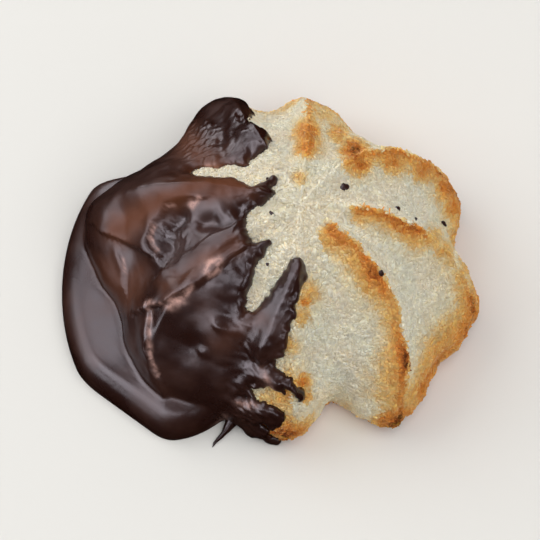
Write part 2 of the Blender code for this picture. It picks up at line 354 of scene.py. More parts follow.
def browning(column, run, x, y, z):
    """How brown the oven left each point of the skin: 0 is cream and 1 is the darkest brown."""
    reach = np.sin(np.clip(run, 0.0, 1.0) * math.pi / 2)
    nearest = np.round(column).astype(int)
    width = np.radians(360.0 / len(RIDGES)) * MOUND_RADIUS * reach
    beside = (column - nearest) * width + 0.45 * swellings(x, y, z, 2.6, 11.0)
    beside = beside + 0.22 * swellings(x, y, z, 1.0, 13.0) + STREAKS_BEHIND
    blotch = 0.92 + 0.5 * swellings(x, y, z, 4.5, 23.0)
    ahead = beside > 0
    core = np.exp(-((beside / np.where(ahead, *CORE_WIDTHS)) ** 2))
    halo = np.exp(-((beside / np.where(ahead, *HALO_WIDTHS)) ** 2))
    brown = np.zeros(np.shape(x))
    for ridge, upper, lower in STREAKS:
        runs, strengths = zip(*upper, *lower)
        strength = np.interp(run, runs, strengths) * ((nearest % len(RIDGES)) == ridge)
        brown = np.maximum(brown, strength * (CORE_SHARE * core + HALO_SHARE * halo) * blotch)
    depth, _ = ridge_pair(column, 3)
    furrow = np.clip(1.25 - depth / 5.5, 0.0, 1.0)
    on_ridge = np.exp(-((beside / RIM_WIDTH) ** 2))
    rim = smooth_step((run - RIM_STARTS[0]) / RIM_STARTS[1]) * (furrow + (1.0 - furrow) * on_ridge)
    brown = brown + RIM_BROWN * rim * blotch * (1.0 - 0.5 * brown)
    across, up = view_plane(x, y, z)
    for spot_across, spot_up, radius, strength in SPOTS:
        away = np.hypot(across - spot_across, up - spot_up) + 0.5 * swellings(x, y, z, 1.4, 17.0)
        spot = strength * np.exp(-((away / radius) ** 2)) * (run < 1.4)
        brown = np.maximum(brown, spot) if strength > 0 else brown + spot
    tray = smooth_step((run - 1.25) / 0.6) * TRAY_BROWN * (0.85 + 0.4 * swellings(x, y, z, 3.5, 41.0))
    brown = np.maximum(brown, tray)
    return np.clip(brown + 0.05 * swellings(x, y, z, 1.1, 5.0), -0.15, 1.0)


def finished(name, mesh, material, node=None):
    """Makes an object of a mesh, in its place, and says what it rides on, replaces and is finished with."""
    mesh.materials.clear()
    mesh.materials.append(material)
    mesh.shade_smooth()
    piece = bpy.data.objects.new(name, mesh)
    bpy.context.scene.collection.objects.link(piece)
    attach(piece, "root")
    if node:
        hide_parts(node)
    return piece


def placed(x, y, z):
    """Points in millimetres from the mound's axis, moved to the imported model's place and kept in its box."""
    points = np.stack([x, y, z], axis=-1).reshape(-1, 3) * TO_METRES + axis_at
    return np.clip(points, np.array(cad_low), np.array(cad_high))


def axis_place():
    """Where the mound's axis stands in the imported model, found from the two boxes of the mound."""
    columns, runs = np.meshgrid(spaced(MOUND_COLUMNS, 0, len(RIDGES)), row_runs((40, 8, 2)))
    x, y, _ = skin(columns, runs)
    low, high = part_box("coconut_mound")
    middle = (low + high) / 2
    return np.array([middle.x - (x.min() + x.max()) / 2000, middle.y - (y.min() + y.max()) / 2000, 0.0])


axis_at = axis_place()


def mound_mesh():
    """Rings of points from the crown to the middle of the base, with the grain of the dough."""
    columns, runs = np.meshgrid(spaced(MOUND_COLUMNS, 0, len(RIDGES))[:-1], row_runs(MOUND_ROWS)[1:-1])
    plain = skin(columns, runs)
    grain = sum(height * (swellings(*plain, size, size) - 0.3) for size, height in GRAIN)
    grain = grain + CRUMB_HEIGHT * (pebbles(*plain, CRUMB_SIZE) - 1.0)
    crust = sum(height * (swellings(*plain, size, 83.0) - 0.35) for size, height in CRUST_LUMPS)
    grain = grain + crust * smooth_step((runs - CRUST_STARTS[0]) / CRUST_STARTS[1]) * (runs < 2.0)
    x, y, z = skin(columns, runs, offset=grain)
    count, rings = columns.shape[1], columns.shape[0]
    index = np.arange(count * rings).reshape(rings, count)
    after = np.roll(index, -1, axis=1)
    quads = np.stack([index[:-1], index[1:], after[1:], after[:-1]], axis=-1).reshape(-1, 4).tolist()
    crown, middle = count * rings, count * rings + 1
    quads += [(crown, i, j) for i, j in zip(index[0].tolist(), after[0].tolist())]
    quads += [(j, i, middle) for i, j in zip(index[-1].tolist(), after[-1].tolist())]
    ends = [[value[0] for value in skin(np.zeros(1), np.full(1, end))] for end in (0.0, 3.0)]
    points = np.concatenate([placed(x, y, z), placed(*np.array(ends).T)])
    mesh = bpy.data.meshes.new("coconut_mound_baked")
    mesh.from_pydata(points.tolist(), [], quads)
    brown = browning(columns, runs, *plain).ravel()
    bare = (edge_depth(*plain, runs) < SHREDS_UNDER_EDGE) & (runs < 1.9)
    for name, values in (("browning", brown), ("bareness", bare.ravel().astype(float))):
        attribute = mesh.attributes.new(name, "FLOAT", "POINT")
        attribute.data.foreach_set("value", np.append(values, [values[0], values[-1]]))
    return mesh


# The edge of the chocolate, seen from above: a wavy dip line, runs of chocolate that reach past it, each
# given by its root, its tip and its half width at each, and gaps that it missed, given in the same way.
DIP_LINE = -5.2
DIP_WAVE = 0.5
DIP_WAVE_LENGTH = 9.0
RUNS = (
    ((-9.0, 14.8), (-4.3, 12.8), 3.6, 2.4),
    ((-9.0, 2.6), (-3.6, 3.0), 2.4, 1.4),
    ((-3.6, 3.4), (-1.7, 5.7), 1.2, 0.6),
    ((-7.0, -5.8), (-2.5, -3.8), 3.2, 0.5),
    ((-8.0, -14.2), (-4.2, -14.0), 2.0, 2.0),
    ((-2.9, -15.7), (1.4, -7.9), 3.2, 1.55),
    ((-5.2, -19.2), (1.8, -22.2), 2.1, 0.9),
    ((-8.6, -21.9), (-1.2, -23.6), 2.4, 1.5),
)
GAPS = (
    ((-12.4, 8.8), (-4.2, 6.8), 0.9, 1.5),
    ((-4.6, -21.0), (0.4, -23.4), 0.5, 0.8),
)
RUN_BLEND = 1.2
RUNS_END_AT = 1.6
EDGE_TATTER = 0.75

# How far in under the edge the shreds go on.
SHREDS_UNDER_EDGE = 0.5

# A place, seen from above, where the chocolate only caught the tops of the shreds: its middle, its radius,
# and how much more ragged the edge is there.
LACE = (-5.2, -21.4)
LACE_RADIUS = 3.2
LACE_RAGGED = 0.8


def run_depth(x, y, run):
    """How far a point lies inside a tapered run of chocolate: negative outside it."""
    root, tip, root_width, tip_width = run
    away, share = away_from(x, y, root, tip)
    return root_width + (tip_width - root_width) * share - away


def dip_depth(x, y, run):
    """How far inside the edge of the chocolate a point of the skin lies: negative where it is bare."""
    depth = DIP_LINE + DIP_WAVE * np.sin(y * 2.0 * math.pi / DIP_WAVE_LENGTH) - x
    out_of_sight = np.clip(run - RUNS_END_AT, 0.0, 1.0) * MOUND_RADIUS
    for shape in RUNS:
        depth = smooth_max(depth, run_depth(x, y, shape) - out_of_sight, RUN_BLEND)
    for shape in GAPS:
        depth = -smooth_max(-depth, run_depth(x, y, shape) - out_of_sight, RUN_BLEND)
    return depth


def edge_depth(x, y, z, run):
    """The depth inside the edge, with how far the chocolate crept on or held back where it met the shreds."""
    ragged = 0.7 * swellings(x, y, z, 2.1, 31.0) + 0.5 * swellings(x, y, z, 0.95, 37.0)
    lacy = np.exp(-((x - LACE[0]) ** 2 + (y - LACE[1]) ** 2) / LACE_RADIUS**2)
    return dip_depth(x, y, run) + EDGE_TATTER * ragged * (1.0 + LACE_RAGGED * lacy)


# Toasted coconut: baked matte flakes in a sugary paste, cream where they stayed moist, then golden, then
# brown. Its cream shifts in patches, and its flecks are coarser than real grain, which would be too fine to
# show.
MOTTLE_SIZE = 4.5
FLECK_SIZE = 0.7
DULL = "#C6C09F"
CREAM_COOL = "#FAF0CF"
CREAM_WARM = "#FEEDC9"
PALE_GOLD = "#F8DC9C"
GOLDEN = "#F6B562"
TOASTED = "#EA8A38"
BROWN = "#C06528"
SCORCHED = "#6E3510"


def coconut_material(name, lightness):
    """The coconut's finish. It gives a soft matte cream with golden edges, and each shred its own tone."""
    material = bpy.data.materials.new(name)
    material.use_nodes = True
    tree = material.node_tree
    shader = tree.nodes["Principled BSDF"]
    place = add(tree, "ShaderNodeTexCoord").outputs["Object"]
    brown = add(tree, "ShaderNodeAttribute", attribute_name="browning").outputs["Fac"]
    tone = add(tree, "ShaderNodeAttribute", attribute_name="tone").outputs["Fac"]
    patches = {"Vector": place, "Scale": 1 / (MOTTLE_SIZE * TO_METRES), "Detail": 2.0}
    mottle = add(tree, "ShaderNodeTexNoise", patches).outputs["Fac"]
    flecks = {"Vector": place, "Scale": 1 / (FLECK_SIZE * TO_METRES), "Detail": 2.0}
    fleck = add(tree, "ShaderNodeTexNoise", flecks).outputs["Fac"]
    swing = add(tree, "ShaderNodeMath", {0: fleck, 1: 0.5, 2: -0.25}, operation="MULTIPLY_ADD").outputs[0]
    swing = add(tree, "ShaderNodeMath", {0: tone, 1: 0.24, 2: swing}, operation="MULTIPLY_ADD").outputs[0]
    level = add(tree, "ShaderNodeMath", {0: swing, 1: brown, 2: brown}, operation="MULTIPLY_ADD").outputs[0]
    level = add(tree, "ShaderNodeMath", {0: level, 1: 0.85, 2: 0.15}, operation="MULTIPLY_ADD").outputs[0]
    sides = ((0.38, linear(CREAM_COOL)), (0.62, linear(CREAM_WARM)))
    cream = add(tree, "ShaderNodeValToRGB", {0: mottle}, sides).outputs[0]
    stops = (
        (0.0, linear(PALE_GOLD)),
        (0.30, linear(GOLDEN)),
        (0.58, linear(TOASTED)),
        (0.84, linear(BROWN)),
        (1.0, linear(SCORCHED)),
    )
    browned = add(tree, "ShaderNodeMapRange", {0: level, 1: 0.22, 2: 1.0}).outputs[0]
    toast = add(tree, "ShaderNodeValToRGB", {0: browned}, stops).outputs[0]
    gilt = add(tree, "ShaderNodeMapRange", {0: level, 1: 0.16, 2: 0.36}).outputs[0]
    dulled = add(tree, "ShaderNodeMapRange", {0: level, 1: 0.12, 2: 0.04}).outputs[0]
    colour = add(tree, "ShaderNodeMix", {0: dulled, 6: cream, 7: linear(DULL)}, data_type="RGBA").outputs[2]
    colour = add(tree, "ShaderNodeMix", {0: gilt, 6: colour, 7: toast}, data_type="RGBA").outputs[2]
    tones = {0: tone, 1: -0.5, 2: 0.5, 3: lightness - 0.04, 4: lightness + 0.04}
    light = add(tree, "ShaderNodeMapRange", tones).outputs[0]
    colour = add(tree, "ShaderNodeVectorMath", {0: colour, "Scale": light}, operation="SCALE").outputs[0]
    tree.links.new(colour, shader.inputs["Base Color"])
    bump = add(tree, "ShaderNodeBump", {"Strength": 0.4, "Distance": 0.00012, "Height": fleck}).outputs[0]
    tree.links.new(bump, shader.inputs["Normal"])
    for socket, value in (
        ("Roughness", 0.6),
        ("IOR", 1.45),
        ("Specular IOR Level", 0.12),
        ("Subsurface Weight", 0.55),
        ("Subsurface Radius", (1.0, 0.75, 0.5)),
        ("Subsurface Scale", 0.0018),
    ):
        shader.inputs[socket].default_value = value
    return material


mound_finish = coconut_material("baked coconut paste", lightness=0.94)
mound = finished("coconut_mound_baked", mound_mesh(), mound_finish, "coconut_mound")


# The coconut shreds
# Dried coconut flesh, rasped into crumbs, thin flakes and a few longer shreds. It lies half sunk in the
# dough and turned every way, and the crumbs are tilted most. Geometry Nodes strew the three kinds over the
# bare skin.

# Each kind: its length, width and thickness, how deep it is sunk, how many lie on a square millimetre, and
# how far it may tilt, in radians.
CRUMBS = ((0.78, 0.62, 0.44), 0.14, 6.2, 0.6)
FLAKES = ((1.15, 0.75, 0.24), 0.08, 2.2, 0.24)
SHREDS = ((1.60, 0.42, 0.30), 0.11, 0.7, 0.20)

# The smallest and the largest bit of a kind, as shares of its length, width and thickness.
LEAST_AND_MOST = ((0.55, 0.6, 0.7), (1.3, 1.25, 1.2))


def crumb_mesh():
    """A rounded eight-sided bit, one unit across, with its corners pushed askew."""
    bit = bmesh.new()
    corners = ((0.5, 0.08, 0.05), (-0.1, 0.5, -0.08), (-0.5, -0.12, 0.06), (0.14, -0.5, 0))
    ring = [bit.verts.new(corner) for corner in corners]
    top = bit.verts.new((0.06, -0.05, 0.5))
    bottom = bit.verts.new((-0.05, 0.06, -0.5))
    for first, second in zip(ring, ring[1:] + ring[:1]):
        bit.faces.new((first, second, top))
        bit.faces.new((second, first, bottom))
    return as_mesh(bit, "crumb")


def flake_mesh():
    """A thin five-cornered chip, one unit long and wide, slightly cupped."""
    bit = bmesh.new()
    corners = (
        (0.5, 0.05, 0.3),
        (0.12, 0.48, -0.1),
        (-0.42, 0.3, 0.25),
        (-0.5, -0.25, 0.1),
        (0.1, -0.5, -0.15),
    )
    top = [bit.verts.new((x * 0.92, y * 0.92, z + 0.5)) for x, y, z in corners]
    bottom = [bit.verts.new((x, y, z - 0.5)) for x, y, z in corners]
    bit.faces.new(top)
    bit.faces.new(bottom[::-1])
    for i in range(len(corners)):
        j = (i + 1) % len(corners)
        bit.faces.new((bottom[i], bottom[j], top[j], top[i]))
    return as_mesh(bit, "flake")


def shred_mesh():
    """A strip, one unit long and wide and lying along X: three-sided, with a bend at its middle."""
    bit = bmesh.new()
    rings = []
    for along, swell, lift in ((-0.5, 0.45, -0.3), (-0.1, 1.0, 0.2), (0.5, 0.5, -0.2)):
        corners = [(0.0, 0.5), (-0.5, -0.4), (0.5, -0.4)]
        rings.append([bit.verts.new((along, side * swell, rise * swell + lift)) for side, rise in corners])
    for first, second in zip(rings, rings[1:]):
        for i in range(3):
            j = (i + 1) % 3
            bit.faces.new((first[i], first[j], second[j], second[i]))
    bit.faces.new(reversed(rings[0]))
    bit.faces.new(rings[-1])
    return as_mesh(bit, "shred")


def as_mesh(bit, name):
    """A plain triangle mesh of a bit of coconut, its faces outwards."""
    bmesh.ops.recalc_face_normals(bit, faces=bit.faces)
    bmesh.ops.triangulate(bit, faces=bit.faces)
    mesh = bpy.data.meshes.new(name)
    bit.to_mesh(mesh)
    bit.free()
    return mesh


def strewing_tree():
    """Strews one kind of bit over the bare skin, each with its own turn, tilt, size and tone."""
    tree = bpy.data.node_groups.new("strewn coconut", "GeometryNodeTree")
    sockets = (
        ("Surface", "NodeSocketGeometry"),
        ("Bit", "NodeSocketObject"),
        ("Density", "NodeSocketFloat"),
        ("Size", "NodeSocketVector"),
        ("Least Turn", "NodeSocketVector"),
        ("Most Turn", "NodeSocketVector"),
        ("Sink", "NodeSocketFloat"),
        ("Seed", "NodeSocketInt"),
        ("Material", "NodeSocketMaterial"),
    )
    for name, kind in sockets:
        tree.interface.new_socket(name, in_out="INPUT", socket_type=kind)
    tree.interface.new_socket("Bits", in_out="OUTPUT", socket_type="NodeSocketGeometry")
    given = add(tree, "NodeGroupInput").outputs
    bare = add(tree, "GeometryNodeInputNamedAttribute", {"Name": "bareness"}, data_type="FLOAT").outputs[0]
    density = add(tree, "ShaderNodeMath", {0: bare, 1: given["Density"]}, operation="MULTIPLY").outputs[0]
    strewn = add(
        tree,
        "GeometryNodeDistributePointsOnFaces",
        {"Mesh": given["Surface"], "Density": density, "Seed": given["Seed"]},
        distribute_method="RANDOM",
    ).outputs
    tone = add(tree, "FunctionNodeRandomValue", {2: -0.5, 3: 0.5, "Seed": 3}, data_type="FLOAT").outputs[1]
    toned = add(
        tree,
        "GeometryNodeStoreNamedAttribute",
        {"Geometry": strewn["Points"], "Name": "tone", "Value": tone},
        data_type="FLOAT",
        domain="POINT",
    ).outputs[0]
    turn = add(
        tree,
        "FunctionNodeRandomValue",
        {0: given["Least Turn"], 1: given["Most Turn"], "Seed": 5},
        data_type="FLOAT_VECTOR",
    ).outputs[0]
    spin = add(tree, "FunctionNodeEulerToRotation", {0: turn}).outputs[0]
    facing = add(
        tree, "FunctionNodeRotateRotation", {0: strewn["Rotation"], 1: spin}, rotation_space="LOCAL"
    ).outputs[0]
    least, most = LEAST_AND_MOST
    spread = add(
        tree, "FunctionNodeRandomValue", {0: least, 1: most, "Seed": 7}, data_type="FLOAT_VECTOR"
    ).outputs[0]
    scale = add(tree, "ShaderNodeVectorMath", {0: given["Size"], 1: spread}, operation="MULTIPLY").outputs[0]
    bit = add(tree, "GeometryNodeObjectInfo", {"Object": given["Bit"]}).outputs["Geometry"]
    laid = add(
        tree,
        "GeometryNodeInstanceOnPoints",
        {"Points": toned, "Instance": bit, "Rotation": facing, "Scale": scale},
    ).outputs[0]
    sink = add(tree, "ShaderNodeMath", {0: given["Sink"], 1: -1.0}, operation="MULTIPLY").outputs[0]
    down = add(tree, "ShaderNodeCombineXYZ", {2: sink}).outputs[0]
    sunk = add(tree, "GeometryNodeTranslateInstances", {"Instances": laid, "Translation": down}).outputs[0]
    real = add(tree, "GeometryNodeRealizeInstances", {0: sunk}).outputs[0]
    done = add(tree, "GeometryNodeSetMaterial", {"Geometry": real, "Material": given["Material"]}).outputs[0]
    add(tree, "NodeGroupOutput", {0: done})
    return tree


strewing = strewing_tree()


def strewn_bits(name, bit, kind, seed):
    """One kind of bit strewn on the mound, as one plain mesh in the model's box."""
    size, sink, per_mm2, tilt = kind
    pattern = bpy.data.objects.new(bit.name, bit)
    bpy.context.scene.collection.objects.link(pattern)
    carrier = bpy.data.objects.new("carrier", mound.data)
    bpy.context.scene.collection.objects.link(carrier)
    modifier = carrier.modifiers.new("strewing", "NODES")
    modifier.node_group = strewing
    values = {
        "Bit": pattern,
        "Density": per_mm2 / TO_METRES**2,
        "Size": tuple(side * TO_METRES for side in size),
        "Least Turn": (-tilt, -tilt, 0.0),
        "Most Turn": (tilt, tilt, 2 * math.pi),
        "Sink": sink * TO_METRES,
        "Seed": seed,
        "Material": shred_finish,
    }
    for item in strewing.interface.items_tree:
        if item.in_out == "INPUT" and item.name in values:
            modifier[item.identifier] = values[item.name]
    bpy.context.view_layer.update()
    evaluated = carrier.evaluated_get(bpy.context.evaluated_depsgraph_get())
    mesh = bpy.data.meshes.new_from_object(evaluated)
    mesh.name = name
    carrier.modifiers.remove(modifier)
    bpy.data.objects.remove(carrier)
    bpy.data.objects.remove(pattern)
    points = np.empty(len(mesh.vertices) * 3)
    mesh.vertices.foreach_get("co", points)
    points = np.clip(points.reshape(-1, 3), np.array(cad_low), np.array(cad_high))
    mesh.vertices.foreach_set("co", points.ravel())
    mesh.update()
    return mesh


shred_finish = coconut_material("dried coconut shreds", lightness=1.0)
for name, bit, kind, seed in (
    ("coconut_crumbs", crumb_mesh(), CRUMBS, 4),
    ("coconut_flakes", flake_mesh(), FLAKES, 8),
    ("coconut_shreds", shred_mesh(), SHREDS, 15),
):
    finished(name, strewn_bits(name, bit, kind, seed), shred_finish)


# The chocolate
# Melted dark chocolate that the baked mound was dipped in. It set as a coat with a rounded lip, crept out
# over the shreds in fingers, kept the lumps of what lies under it, and ran down into a smooth rounded foot
# on the tray.

# The coat's thickness, how far its inner side is sunk in the coconut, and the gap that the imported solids
# keep. Its lip rises to its height over its width, and behind it the coat swells to full thickness. More
# rings of points are cut into it near the edge.
COAT_THICKNESS = 1.5
COAT_SINK = 0.15
CLEARANCE = 0.3
LIP_WIDTH = 1.2
LIP_HEIGHT = 1.0
SWELL_WIDTH = 4.5
LIP_RINGS = (0.15, 0.5, 1.2)
CUT_SNAP = 0.02

# The foot: in plan an ellipse round its centre, with one flat side at a distance from the mound's axis. From
# the table to its height it draws in by its rounding, and it fades out at both ends of its span of angles.
FOOT_CENTRE = (-17.0, -1.8)
FOOT_AXES = (15.6, 23.0)
FOOT_HEIGHT = 6.2
FOOT_ROUNDING = 9.0
FOOT_FLAT = 30.4
FOOT_FLAT_FACES = 232.7
FOOT_POWER = 2.6
FOOT_BLEND = 1.2
FOOT_SPAN = (143.0, 260.0)
FOOT_FADE = 12.0

# The coat's points, counted like the mound's, and the ridges between which it lies.
COAT_COLUMNS = 52
COAT_ROWS = (150, 22, 26)
COAT_RIDGES = (2, 7)

# The lumps of the coat: the size of each kind of swelling and how high it stands.
COAT_LUMPS = ((4.5, 0.35), (2.0, 0.11), (1.2, 0.02))

# Folds of the coat seen from the camera's side. Each is a line on the view plane, where the chocolate stands
# proud on the left of the way along it: the line's points, how wide the fold is, and how high.
FOLDS = (
    (((-25.4, 6.6), (-23.2, 5.4), (-20.6, 4.4)), 2.8, 0.90),
    (((-18.0, 3.4), (-19.0, 5.6), (-18.7, 8.2), (-16.6, 10.9), (-12.6, 11.7)), 1.5, 0.60),
    (((-20.0, -4.0), (-16.6, -2.8), (-13.1, -1.1), (-9.7, 1.6), (-5.3, 5.2)), 2.4, 0.85),
    (((-16.8, -16.4), (-18.3, -13.6), (-19.6, -9.3), (-19.4, -4.4)), 1.2, 0.55),
    (((-22.8, -0.7), (-22.9, 1.6), (-23.6, 3.7)), 1.2, 0.45),
    (((-7.0, 8.6), (-11.0, 6.2), (-17.2, 1.6)), 2.6, 0.45),
)

# Where the coat was rubbed paler and pinkish, and a painted highlight along its sharp crests: a line on the
# view plane, its half width and its strength.
SCUFFS_AND_EDGE_HIGHLIGHTS = (
    (((-11.2, 1.7), (-10.6, 2.7), (-9.6, 2.9)), 0.62, 1.0),
    (((-10.9, 0.9), (-9.6, 1.6)), 0.40, 0.7),
    (((-16.4, -3.2), (-15.0, -2.6)), 0.72, 1.0),
    (((-14.6, -2.2), (-13.4, -1.1)), 0.45, 0.8),
    (((-20.0, -3.3), (-18.9, -3.0)), 0.34, 0.7),
    (((-18.0, -3.2), (-17.2, -3.2)), 0.30, 0.45),
    (((-19.3, -4.2), (-19.5, -7.4), (-19.3, -10.4), (-18.4, -13.4)), 0.34, 0.60),
    (((-18.8, 8.0), (-19.2, 6.2), (-18.3, 4.4)), 0.26, 0.75),
    (((-17.2, 10.5), (-15.8, 11.0)), 0.24, 0.5),
    (((-13.4, 10.8), (-12.4, 11.6)), 0.42, 0.8),
    (((-23.4, 3.0), (-22.9, 1.2)), 0.26, 0.5),
    (((-11.2, 16.4), (-8.4, 15.6)), 0.50, 0.5),
    (((-12.8, -24.0), (-8.6, -19.6)), 0.45, 0.35),
    (((-3.4, -12.4), (-2.0, -15.4)), 0.40, 0.40),
    (((-6.6, -17.4), (-4.4, -17.6)), 0.50, 0.55),
)

# Swells and pits of the coat: start and end on the view plane, half width, and height, which is below
# nothing for a pit.
SWELLS = (
    ((-26.9, 10.6), (-11.4, 14.2), 1.7, 0.45),
    ((-24.8, 1.2), (-25.0, 0.2), 2.4, 0.40),
    ((-16.5, 5.2), (-16.9, 4.2), 1.3, -1.30),
    ((-15.4, 9.2), (-16.2, 8.2), 1.4, -1.30),
    ((-11.8, 8.4), (-10.4, 8.4), 1.2, -1.10),
    ((-6.6, 10.4), (-5.8, 10.0), 1.1, -0.70),
    ((-7.4, 5.2), (-15.4, 0.4), 1.0, -0.55),
    ((-9.7, -6.3), (-9.4, -6.5), 0.6, 0.40),
    ((-11.9, -10.1), (-11.5, -10.3), 0.7, 0.40),
    ((-6.6, -4.4), (-5.6, -6.4), 0.6, 0.35),
    ((1.5, 1.0), (-3.4, -9.4), 1.0, 0.35),
    ((-3.4, -9.6), (-3.8, -11.6), 0.8, 0.35),
    ((-4.5, -13.2), (1.5, -16.2), 0.8, 0.30),
    ((-7.8, 24.6), (-7.8, 23.8), 1.1, 0.50),
    ((-11.4, 22.4), (-11.8, 21.4), 0.9, 0.45),
    ((-13.6, 20.0), (-13.8, 18.6), 0.8, 0.40),
    ((-5.6, 20.6), (-3.6, 19.2), 1.6, 0.50),
    ((-9.4, 20.4), (-9.2, 17.6), 0.9, -0.45),
)

# Where the coat is thin and shows the shreds under it: the middle on the view plane, the radius, and the
# height.
CRUMBLY = (
    (-12.4, 20.6, 3.0, 0.38),
    (-6.0, 17.4, 2.6, 0.30),
    (-15.9, 7.0, 2.8, 0.26),
    (-5.2, -18.6, 2.6, 0.34),
    (-3.6, 12.8, 2.0, 0.25),
    (-4.4, -12.6, 2.2, 0.15),
)
CRUMBLY_SIZE = 1.25

# The same near the coat's edge: how high, and how far in from the edge.
EDGE_GRAIN = 0.13
EDGE_GRAIN_REACH = 1.6

# Where the coat is stretched thin over a ridge and looks a warmer brown: a line on the view plane, its half
# width and how warm it is.
THIN_PLACES = (
    (((-24.0, 7.2), (-19.6, 10.6), (-12.0, 13.6), (-6.0, 14.2)), 2.2, 1.0),
    (((-25.6, 2.0), (-23.4, -1.6)), 2.2, 0.55),
    (((-17.0, -0.6), (-11.4, 3.0), (-7.4, 5.0)), 1.5, 0.60),
    (((-22.6, -2.4), (-21.0, 1.4)), 1.8, 0.60),
    (((-14.6, 20.6), (-9.6, 15.6)), 2.6, 0.75),
    (((-9.0, -8.6), (-4.0, -5.0)), 1.6, 0.30),
)


def with_foot(angle, around, z):
    """Widens the coat to the foot, in plan an ellipse with one straighter side, at each height of it."""
    way_x, way_y = np.cos(angle) / FOOT_AXES[0], np.sin(angle) / FOOT_AXES[1]
    middle_x, middle_y = FOOT_CENTRE[0] / FOOT_AXES[0], FOOT_CENTRE[1] / FOOT_AXES[1]
    square = way_x**2 + way_y**2
    towards = way_x * middle_x + way_y * middle_y
    reached = towards**2 - square * (middle_x**2 + middle_y**2 - 1.0)
    edge = (towards + np.sqrt(np.clip(reached, 0.0, None))) / square
    flat = FOOT_FLAT / np.clip(np.cos(angle - math.radians(FOOT_FLAT_FACES)), 0.1, 1.0)
    edge = -smooth_max(-edge, -flat, FOOT_BLEND)
    rise = np.clip(z / FOOT_HEIGHT, 0.0, 1.0)
    inset = FOOT_ROUNDING * (1.0 - (1.0 - rise**FOOT_POWER) ** (1.0 / FOOT_POWER))
    degrees = np.degrees(angle) % 360.0
    share = smooth_step((degrees - FOOT_SPAN[0]) / FOOT_FADE)
    share = share * smooth_step((FOOT_SPAN[1] - degrees) / FOOT_FADE)
    share = share * smooth_step((FOOT_HEIGHT - z) / FOOT_BLEND)
    return around + (smooth_max(around, edge - inset, FOOT_BLEND) - around) * share


# How wide the step is from the proud side of a fold to the low side.
FOLD_EDGE = 0.5


def fold_height(across, up, points, width):
    """How near a point is to a fold's line: 1 at the line on its proud side, and 0 away from or behind it."""
    best = np.full(np.shape(across), np.inf)
    side = np.zeros(np.shape(across))
    for start, end in zip(points, points[1:]):
        away, _ = away_from(across, up, start, end)
        cross = (end[0] - start[0]) * (up - start[1]) - (end[1] - start[1]) * (across - start[0])
        nearer = away < best
        best = np.where(nearer, away, best)
        side = np.where(nearer, np.sign(cross), side)
    signed = best * side
    return smooth_step(signed / FOLD_EDGE + 0.5) * np.exp(-((signed / width) ** 2))


def coat_relief(x, y, z, depth):
    """How far the folds, swells, pits and covered shreds raise each point of the coat."""
    across, up = view_plane(x, y, z)
    across = across + 0.35 * swellings(x, y, z, 2.2, 61.0)
    up = up + 0.35 * swellings(x, y, z, 2.2, 67.0)
    raised = np.zeros(np.shape(x))
    for points, width, height in FOLDS:
        raised = raised + height * fold_height(across, up, points, width)
    for start, end, width, height in SWELLS:
        away, _ = away_from(across, up, start, end)
        raised = raised + height * np.exp(-((away / width) ** 2))
    crumbs = pebbles(x, y, z, CRUMBLY_SIZE) - 0.5
    for middle_across, middle_up, radius, height in CRUMBLY:
        away = np.hypot(across - middle_across, up - middle_up) / radius
        raised = raised + height * crumbs * np.exp(-(away**4))
    return raised + EDGE_GRAIN * crumbs * np.exp(-((depth / EDGE_GRAIN_REACH) ** 2))


def along_lines(x, y, z, lines, wander):
    """The strength at each point of what follows lines on the view plane and wanders from them a little."""
    across, up = view_plane(x, y, z)
    across = across + wander * swellings(x, y, z, 3.0 * wander, 71.0)
    up = up + wander * swellings(x, y, z, 3.0 * wander, 73.0)
    value = np.zeros(np.shape(x))
    for points, width, strength in lines:
        for start, end in zip(points, points[1:]):
            away, _ = away_from(across, up, start, end)
            value = np.maximum(value, strength * np.exp(-((away / width) ** 2)))
    return value


def coat_outside(column, run, depth):
    """Points of the chocolate's outer surface, with its lip, lumps, folds and foot."""
    lip = np.clip(depth / LIP_WIDTH, 0.0, 1.0)
    rounded = np.sqrt(1.0 - (1.0 - lip) ** 2)
    full = CLEARANCE + COAT_THICKNESS
    plain = skin(column, np.minimum(run, 2.0), lip, full)
    raised = coat_relief(*plain, depth)
    calm = smooth_step((plain[2] - 1.5) / FOOT_HEIGHT)
    lumps = sum(height * (swellings(*plain, size, 50.0) - 0.2) for size, height in COAT_LUMPS)
    thickness = -COAT_SINK + (COAT_SINK + LIP_HEIGHT) * rounded
    thickness = thickness + (full - LIP_HEIGHT) * smooth_step(depth / SWELL_WIDTH)
    thickness = thickness + (raised + lumps * (0.35 + 0.65 * calm)) * lip
    x, y, z = skin(column, np.minimum(run, 2.0), lip, thickness)
    z = np.maximum(0.0, z - base_height(x) * smooth_step(2.0 - z / WIDEST_AT) * lip)
    angle = np.arctan2(y, x)
    around = np.hypot(x, y)
    around = around + (with_foot(angle, around, z) - around) * lip
    outward = 1.0 - np.clip(run - 2.0, 0.0, 1.0)
    under_x, under_y, under_z = skin(column, run)
    swell = (around * outward - np.hypot(under_x, under_y)) * outward
    below = run > 2.0
    x = np.where(below, under_x + swell * np.cos(angle), around * np.cos(angle))
    y = np.where(below, under_y + swell * np.sin(angle), around * np.sin(angle))
    z = np.where(below, np.maximum(0.0, under_z - CLEARANCE - 2.0 * COAT_THICKNESS * rounded), z)
    return x, y, z


